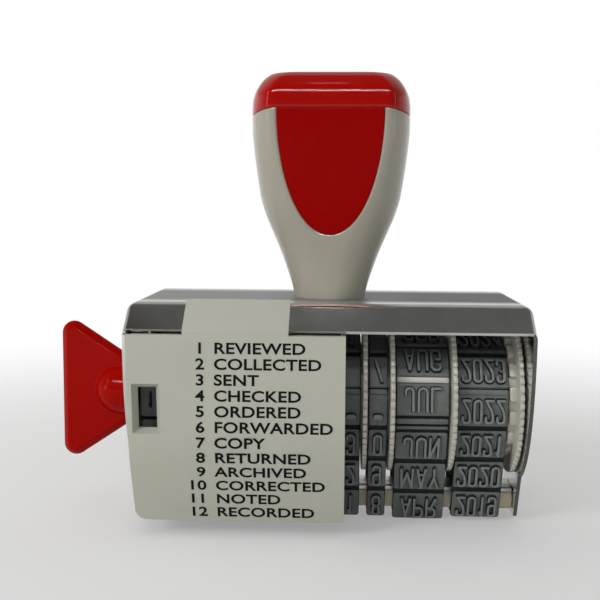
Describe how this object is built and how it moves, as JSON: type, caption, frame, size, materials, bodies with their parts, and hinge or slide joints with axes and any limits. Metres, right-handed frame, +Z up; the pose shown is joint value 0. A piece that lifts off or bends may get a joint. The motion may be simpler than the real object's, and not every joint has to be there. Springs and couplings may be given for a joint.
{
  "type": "phrase date stamp",
  "caption": "Hand stamp with a chromed frame, four band dials for the date, a knob-driven phrase band behind an index cover, and a two-colour handle.",
  "frame": {"origin": "centre of the frame's width and depth, on the printing plane", "axes": "+X along the dial axle, away from the phrase knob; +Y from front to back; +Z up to the handle"},
  "size_m": [0.08, 0.0352, 0.075],
  "materials": {
    "frame_chrome": "bright plated sheet",
    "handle_ivory": "satin gloss",
    "handle_red": "glossy",
    "knob_red": "glossy",
    "cover_grey": "fine matte",
    "dial_white": "moulded, satin",
    "band_rubber": "moulded, matte",
    "shoe_cream": "matte",
    "steel": "plain"
  },
  "bodies": {
    "root": {"frame": "frame_chrome", "handle_body": "handle_ivory", "handle_cap": "handle_red", "front_plaque": "handle_red", "back_plaque": "handle_red", "handle_screw": "steel", "handle_screw_washer": "steel", "axle": "steel", "axle_washer": "steel", "print_shoe": "shoe_cream", "shoe_strip": "steel", "phrase_cover": "cover_grey", "phrase_band": "band_rubber", "day_tens_band": "band_rubber", "day_units_band": "band_rubber", "month_band": "band_rubber", "year_band": "band_rubber"},
    "phrase_dial": {"phrase_knob": "knob_red", "phrase_drum": "dial_white"},
    "day_tens_dial": {"day_tens_wheel": "dial_white"},
    "day_units_dial": {"day_units_wheel": "dial_white"},
    "month_dial": {"month_wheel": "dial_white"},
    "year_dial": {"year_wheel": "dial_white"}
  },
  "joints": [
    {"name": "phrase_knob_turn", "type": "hinge", "parent": "root", "child": "phrase_dial", "pos_m": [0, 0, 0.02105], "axis": [1, 0, 0], "continuous": true},
    {"name": "day_tens_turn", "type": "hinge", "parent": "root", "child": "day_tens_dial", "pos_m": [0, 0, 0.02105], "axis": [1, 0, 0], "continuous": true},
    {"name": "day_units_turn", "type": "hinge", "parent": "root", "child": "day_units_dial", "pos_m": [0, 0, 0.02105], "axis": [1, 0, 0], "continuous": true},
    {"name": "month_turn", "type": "hinge", "parent": "root", "child": "month_dial", "pos_m": [0, 0, 0.02105], "axis": [1, 0, 0], "continuous": true},
    {"name": "year_turn", "type": "hinge", "parent": "root", "child": "year_dial", "pos_m": [0, 0, 0.02105], "axis": [1, 0, 0], "continuous": true}
  ]
}
